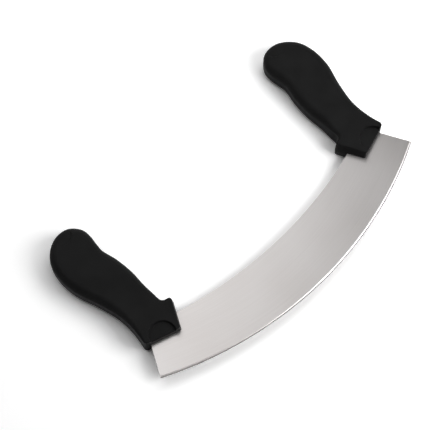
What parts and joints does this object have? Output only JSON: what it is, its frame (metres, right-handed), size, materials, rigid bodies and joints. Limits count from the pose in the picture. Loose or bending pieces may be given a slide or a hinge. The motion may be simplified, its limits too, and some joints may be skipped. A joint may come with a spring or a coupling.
{
  "type": "mezzaluna",
  "caption": "Rocking chopper with a wide curved steel blade and an upright moulded handle with finger guard at each end.",
  "frame": {"origin": "under the middle of the part, on the surface that its handles lie on", "axes": "+X along the blade from the left handle to the right handle, +Y from the cutting edge towards the handle tips, +Z through the thickness"},
  "size_m": [0.2844, 0.171, 0.02],
  "materials": {
    "blade_steel": "fine satin ground faces with polished bevels",
    "grip_plastic": "satin moulded black",
    "core_plastic": "plain moulded dark grey, hidden"
  },
  "bodies": {
    "root": {"blade": "blade_steel", "handle_core_left": "core_plastic", "handle_core_right": "core_plastic", "handle_grip_left": "grip_plastic", "handle_grip_right": "grip_plastic"}
  },
  "joints": []
}
